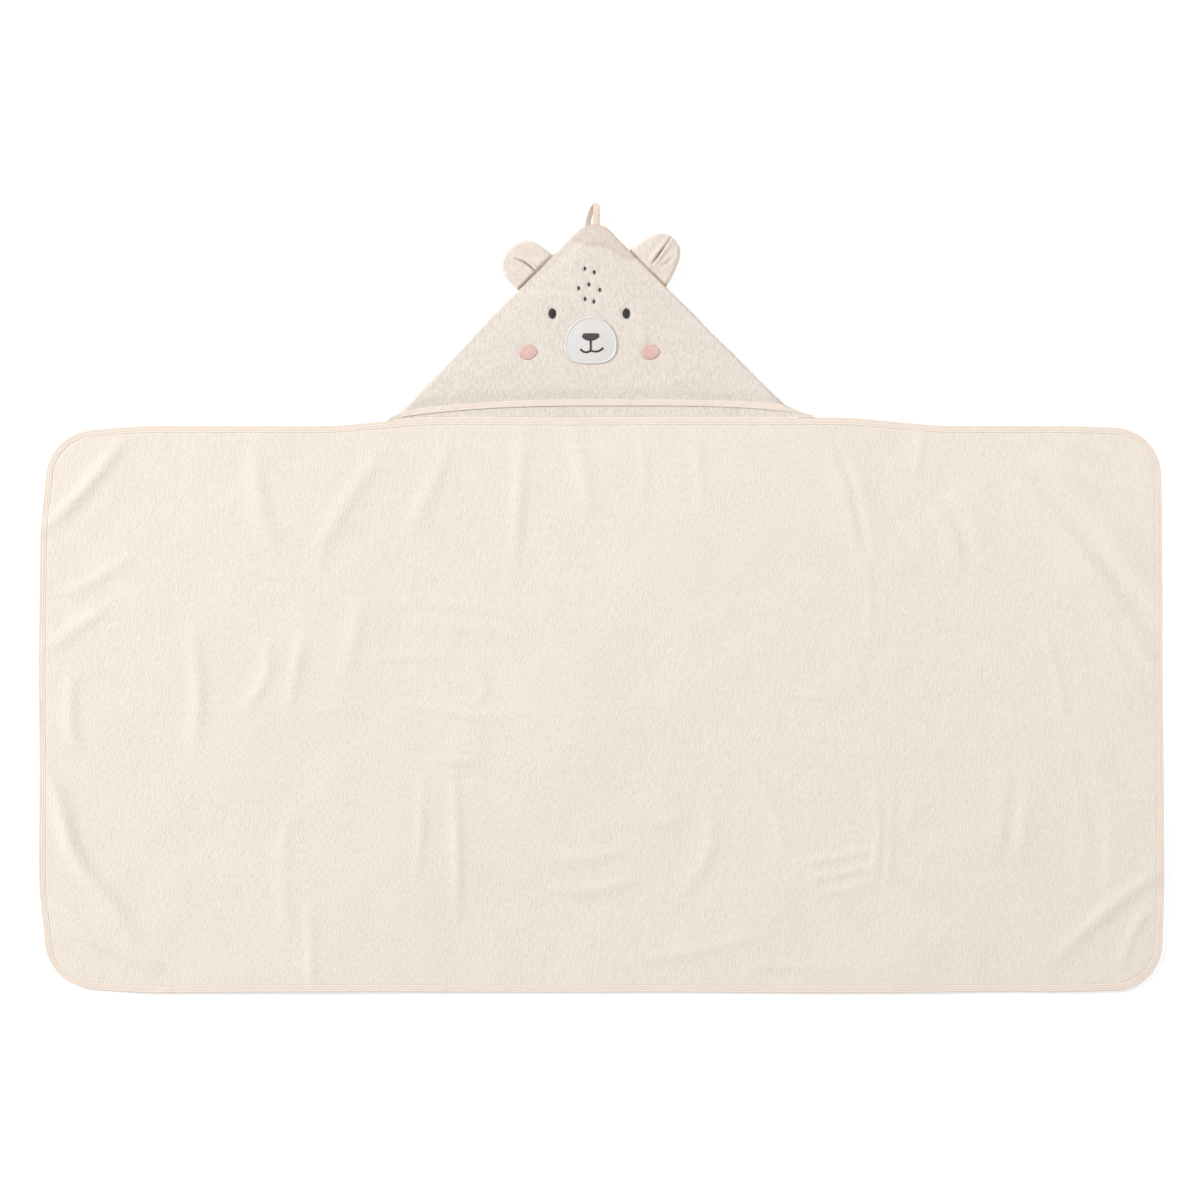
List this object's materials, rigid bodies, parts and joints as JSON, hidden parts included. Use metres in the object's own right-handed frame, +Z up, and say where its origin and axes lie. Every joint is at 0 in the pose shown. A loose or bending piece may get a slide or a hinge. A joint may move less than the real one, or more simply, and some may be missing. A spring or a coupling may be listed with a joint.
{
  "type": "hooded baby towel",
  "caption": "Flat terry baby towel with a bound edge and a pointed hood: bear face, two ears, an open pocket for the head and a hanging loop at the tip.",
  "frame": {"origin": "centre of the outline, hood and loop included, on the face that the towel lies on", "axes": "+X along the towel's length, +Y across it towards the hood's tip, +Z up, out of the side with the bear's face"},
  "size_m": [1.2, 0.8418, 0.0167],
  "materials": {
    "terry": "cream cotton terry with a short looped pile",
    "binding_tape": "peach woven cotton tape, folded over the edge",
    "loop_tape": "peach woven cotton tape, folded and sewn",
    "muzzle_fabric": "smooth off-white woven cotton",
    "white_thread": "satin stitch in off-white embroidery thread",
    "charcoal_thread": "satin stitch in charcoal embroidery thread",
    "pink_thread": "satin stitch in pink embroidery thread"
  },
  "bodies": {
    "towel": {"towel_panel": "terry", "towel_binding": "binding_tape"},
    "hood": {"hood_back": "terry"},
    "hood_front": {"hood_front": "terry", "hood_hem_binding": "binding_tape", "muzzle_patch": "muzzle_fabric", "muzzle_border": "white_thread", "nose": "charcoal_thread", "mouth": "charcoal_thread", "eye_left": "charcoal_thread", "eye_right": "charcoal_thread", "cheek_left": "pink_thread", "cheek_right": "pink_thread", "forehead_mark_1": "charcoal_thread", "forehead_mark_2": "charcoal_thread", "forehead_mark_3": "charcoal_thread", "forehead_mark_4": "charcoal_thread", "forehead_mark_5": "charcoal_thread", "forehead_mark_6": "charcoal_thread", "forehead_mark_7": "charcoal_thread"},
    "ear_left": {"ear_left_front": "terry", "ear_left_back": "terry"},
    "ear_right": {"ear_right_front": "terry", "ear_right_back": "terry"},
    "hanging_loop": {"hanging_loop": "loop_tape"}
  },
  "joints": [
    {"name": "hood_fold", "type": "hinge", "parent": "towel", "child": "hood", "pos_m": [-0.008, 0.1925, 0.00315], "axis": [1, 0, 0], "range_deg": [0, 95]},
    {"name": "hood_open", "type": "hinge", "parent": "hood", "child": "hood_front", "pos_m": [-0.008, 0.39455, 0.0033], "axis": [-1, 0, 0], "range_deg": [0, 14]},
    {"name": "ear_left_fold", "type": "hinge", "parent": "hood", "child": "ear_left", "pos_m": [-0.0698, 0.34626, 0.006], "axis": [0.7071, 0.7071, 0], "range_deg": [0, 80]},
    {"name": "ear_right_fold", "type": "hinge", "parent": "hood", "child": "ear_right", "pos_m": [0.05027, 0.34979, 0.006], "axis": [0.7071, -0.7071, 0], "range_deg": [0, 80]},
    {"name": "loop_swing", "type": "hinge", "parent": "hood", "child": "hanging_loop", "pos_m": [-0.008, 0.39775, 0.0072], "axis": [1, 0, 0], "range_deg": [0, 90]}
  ]
}
